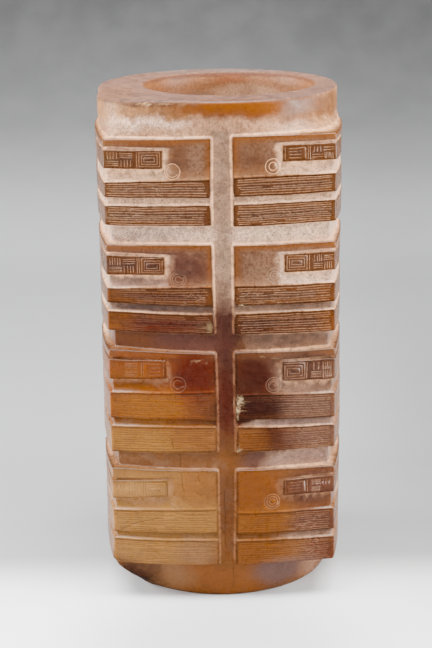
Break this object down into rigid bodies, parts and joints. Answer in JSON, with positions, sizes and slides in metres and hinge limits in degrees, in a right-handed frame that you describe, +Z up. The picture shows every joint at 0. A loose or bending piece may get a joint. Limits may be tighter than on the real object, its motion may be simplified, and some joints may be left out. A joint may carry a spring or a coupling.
{
  "type": "jade cong",
  "caption": "Square carved jade tube with round collars and a bored hole right through, standing upright on its base as a ritual or display object.",
  "frame": {"origin": "centre of the base, on the surface it stands on", "axes": "+Z up along the bore, -Y out of the front face, +X to the viewer's right of that face"},
  "size_m": [0.0848, 0.0848, 0.1751],
  "materials": {
    "jade": "polished nephrite, orange-brown, with pale altered skin in the grooves"
  },
  "bodies": {
    "root": {"jade_cong": "jade"}
  },
  "joints": []
}
